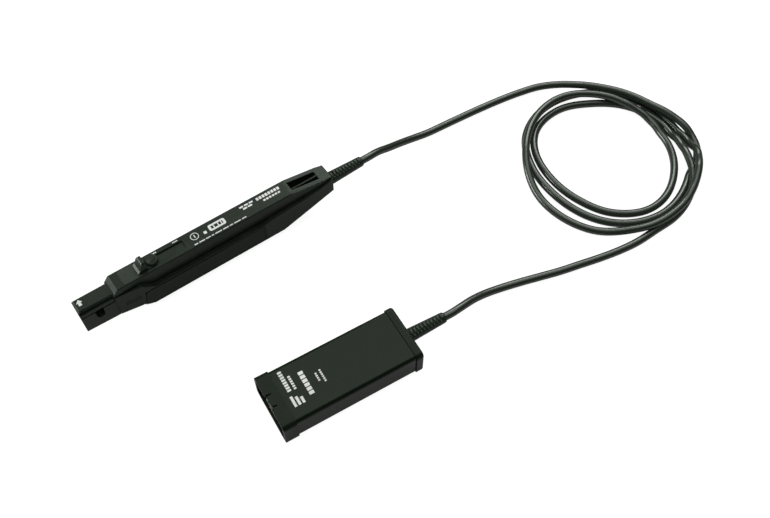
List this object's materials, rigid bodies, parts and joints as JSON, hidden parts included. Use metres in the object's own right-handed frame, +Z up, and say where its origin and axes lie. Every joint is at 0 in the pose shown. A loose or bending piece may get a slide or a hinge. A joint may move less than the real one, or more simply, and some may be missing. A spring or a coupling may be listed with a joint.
{
  "type": "clamp-on oscilloscope current probe",
  "caption": "Oscilloscope current probe: slim head with a sliding clamp jaw and thumb lever, coiled cable and a flat interface pod with a push-on coaxial plug.",
  "frame": {"origin": "middle of the head's flat base, on the surface that the probe lies on", "axes": "+X along the head from the jaw's tip to the tail, +Z up out of the base, +Y away from the pod"},
  "size_m": [0.413, 0.159, 0.0404],
  "materials": {
    "body_plastic": "fine matte texture, greenish black",
    "cover_plastic": "fine matte texture, greenish black",
    "jaw_plastic": "fine matte texture, greenish black",
    "lever_plastic": "fine matte texture, worn smooth at the edges",
    "cap_plastic": "fine matte texture",
    "guide_plastic": "natural slippery plastic",
    "chip_plastic": "moulded epoxy",
    "wire_plastic": "wire insulation",
    "board": "green solder mask",
    "grip_rubber": "soft matte",
    "boot_rubber": "soft matte, ribbed",
    "cable_jacket": "smooth satin jacket",
    "pod_metal": "black anodised extrusion, satin",
    "core_metal": "laminated soft magnetic alloy",
    "spring_steel": "spring strip",
    "screw_steel": "plated steel",
    "screw_black": "black oxide",
    "winding_copper": "enamelled copper wire",
    "ferrule_brass": "crimped brass",
    "plug_metal": "nickel plate",
    "contact_gold": "gold plate"
  },
  "bodies": {
    "root": {"lower_body": "body_plastic", "upper_cover": "cover_plastic", "grip_left": "grip_rubber", "grip_right": "grip_rubber", "nose_housing": "jaw_plastic", "lower_core": "core_metal", "hall_element": "chip_plastic", "core_winding": "winding_copper", "slide_guide": "guide_plastic", "detent_spring": "spring_steel", "sensor_board": "board", "sensor_parts": "chip_plastic", "signal_wires": "wire_plastic", "nose_screw": "screw_steel", "case_screws": "screw_steel", "head_ferrule": "ferrule_brass", "head_inner_lead": "cable_jacket", "head_boot": "boot_rubber", "pod_shell": "pod_metal", "pod_front_cap": "cap_plastic", "pod_rear_cap": "cap_plastic", "pod_board": "board", "pod_shield": "spring_steel", "pod_parts": "chip_plastic", "plug_sleeve": "plug_metal", "plug_insulator": "guide_plastic", "plug_pin": "contact_gold", "contact_block": "chip_plastic", "contact_pins": "contact_gold", "cap_screws": "screw_black", "pod_ferrule": "ferrule_brass", "pod_inner_lead": "cable_jacket", "pod_boot": "boot_rubber", "cable_lead_head": "cable_jacket", "cable_coil": "cable_jacket", "cable_lead_pod": "cable_jacket"},
    "jaw": {"jaw_slider": "jaw_plastic", "upper_core": "core_metal", "thumb_lever": "lever_plastic", "thumb_button": "lever_plastic", "lever_screw": "screw_steel"}
  },
  "joints": [
    {"name": "jaw_slide", "type": "slide", "parent": "root", "child": "jaw", "axis": [1, 0, 0], "range_m": [0, 0.0142]}
  ]
}
